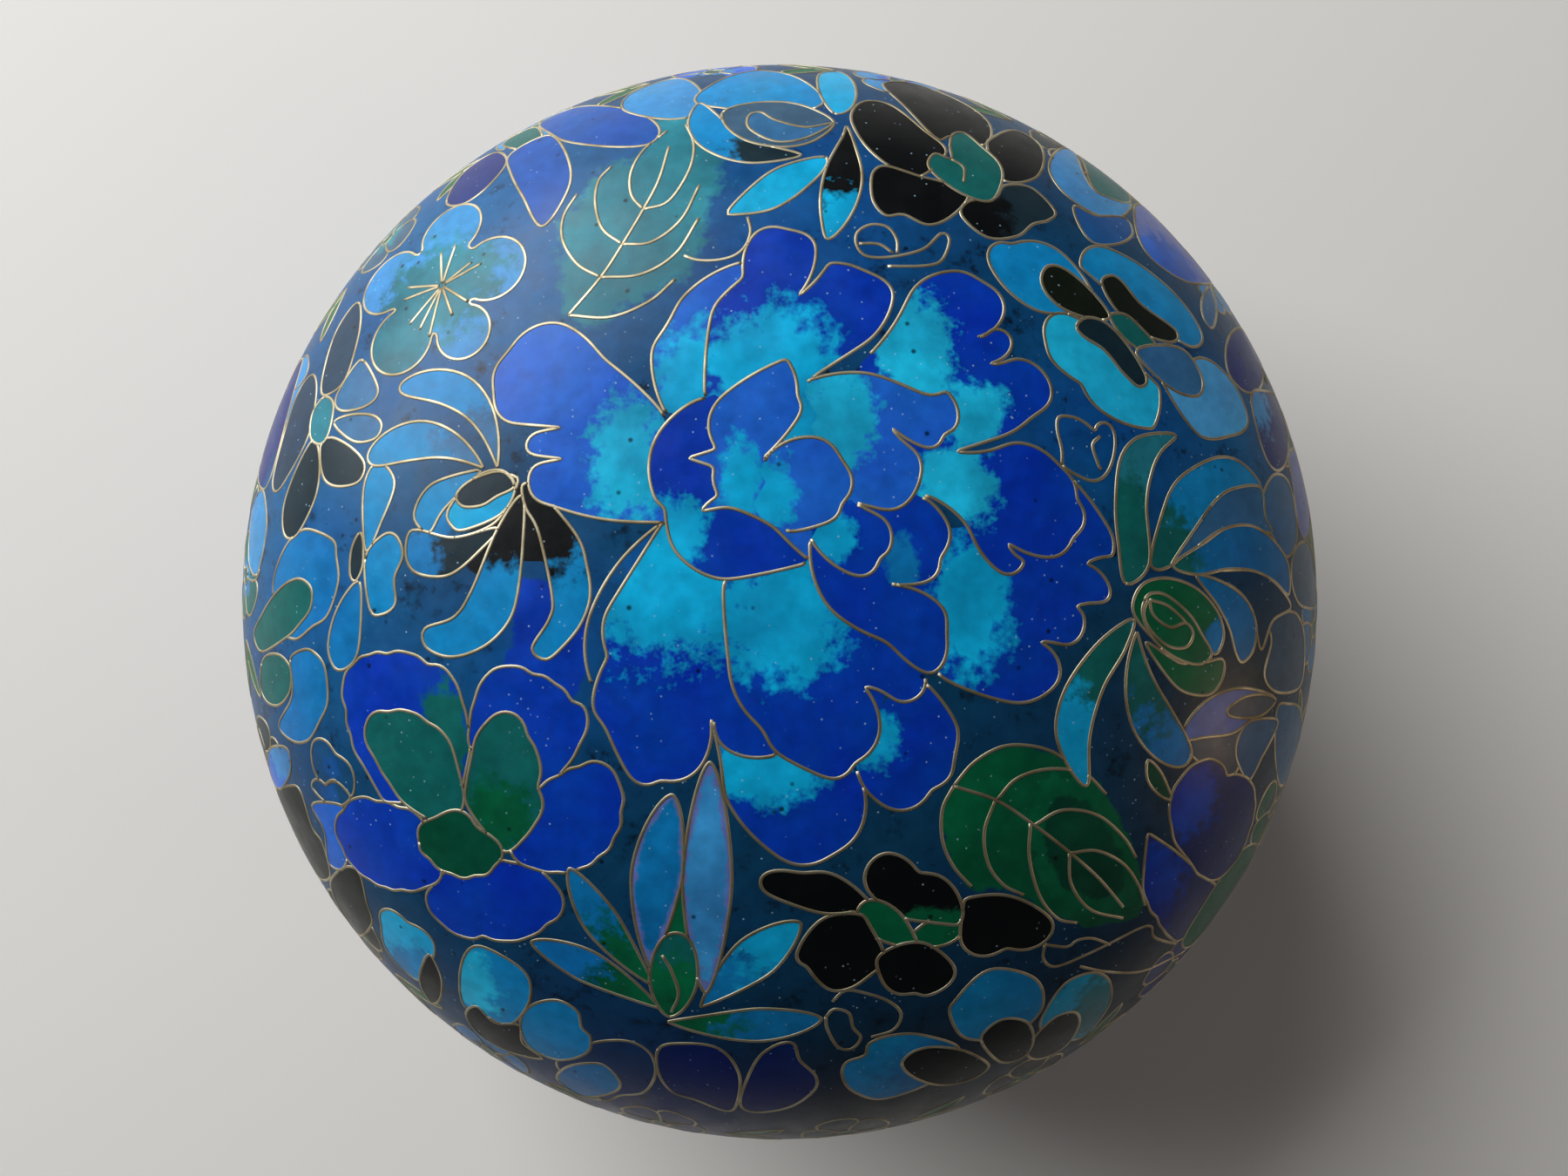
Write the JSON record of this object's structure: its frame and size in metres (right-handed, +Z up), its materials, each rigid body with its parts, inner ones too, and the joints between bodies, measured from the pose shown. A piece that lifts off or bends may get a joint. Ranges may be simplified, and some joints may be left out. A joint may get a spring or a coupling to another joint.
{
  "type": "cloisonne enamel box",
  "caption": "Round domed lidded box of cloisonne enamel on copper, with brass rims at the seam, a lift-off lid and a low foot ring.",
  "frame": {"origin": "centre of the foot ring's underside, on the surface the box stands on", "axes": "+Z up along the box's axis of revolution, -Y towards the lower edge of the picture, +X to its right"},
  "size_m": [0.1206, 0.1206, 0.0735],
  "materials": {
    "cloisonne_enamel": "polished vitreous enamel over copper, satin gloss",
    "gilt_brass": "gilt brass, satin"
  },
  "bodies": {
    "root": {"foot_ring": "gilt_brass", "base_bowl": "cloisonne_enamel", "base_rim": "gilt_brass", "lid_rim": "gilt_brass", "lid_dome": "cloisonne_enamel"}
  },
  "joints": []
}
